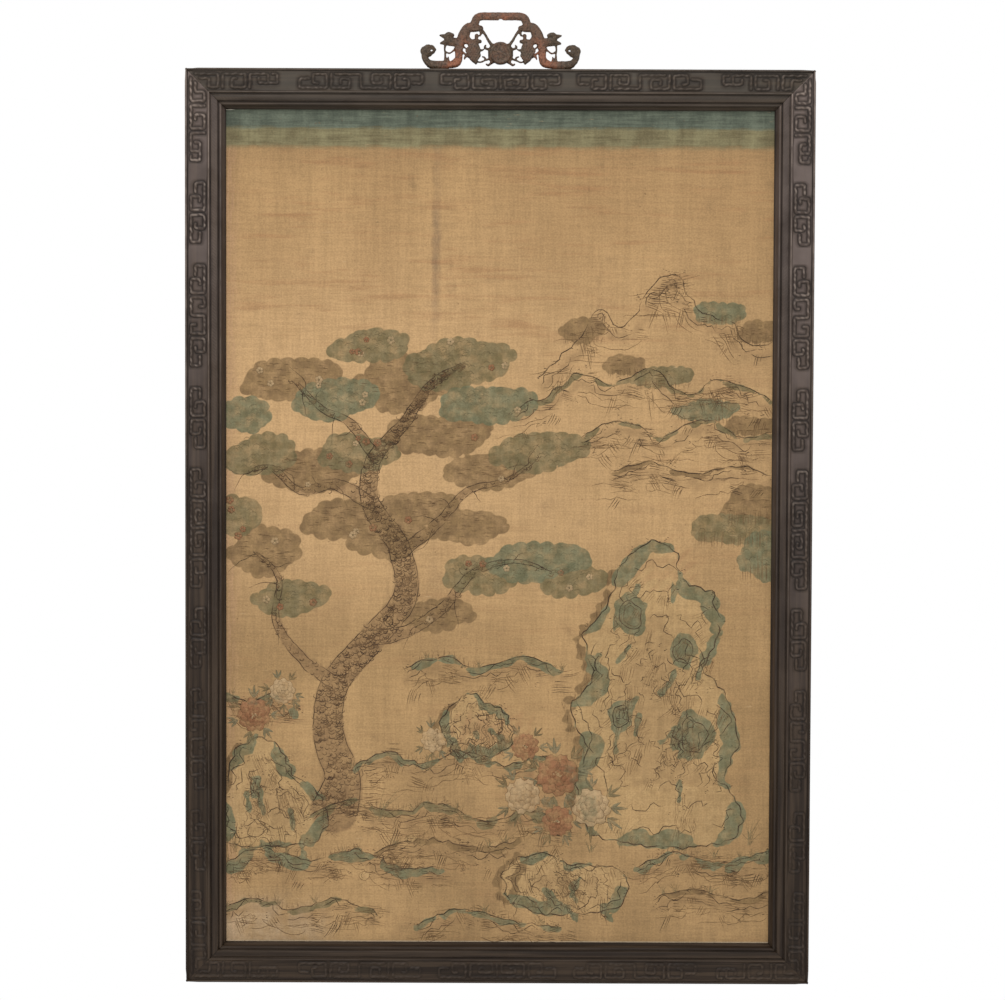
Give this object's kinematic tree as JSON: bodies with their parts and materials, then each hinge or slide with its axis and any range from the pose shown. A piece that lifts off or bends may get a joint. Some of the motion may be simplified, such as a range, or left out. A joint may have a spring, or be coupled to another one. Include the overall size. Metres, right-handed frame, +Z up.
{
  "type": "silk painting in a carved wooden frame with a pierced hanger",
  "caption": "Tall painted silk panel held in the groove of a mitred, carved hardwood frame, with a pierced carved hanger on the top rail for a wall hook.",
  "frame": {"origin": "seat of the wall hook: top of the notch under the hanger's handle, at mid thickness", "axes": "+Z up, -Y out of the painted front, +Y towards the wall, +X to the viewer's right"},
  "size_m": [1, 0.029, 1.551],
  "materials": {
    "painted_silk": "aged woven silk, painted",
    "dark_wood": "dark waxed hardwood, carved",
    "red_wood": "worn reddish hardwood, carved"
  },
  "bodies": {
    "root": {"silk_panel": "painted_silk", "rail_top": "dark_wood", "rail_bottom": "dark_wood", "stile_left": "dark_wood", "stile_right": "dark_wood", "hanger": "red_wood"}
  },
  "joints": []
}
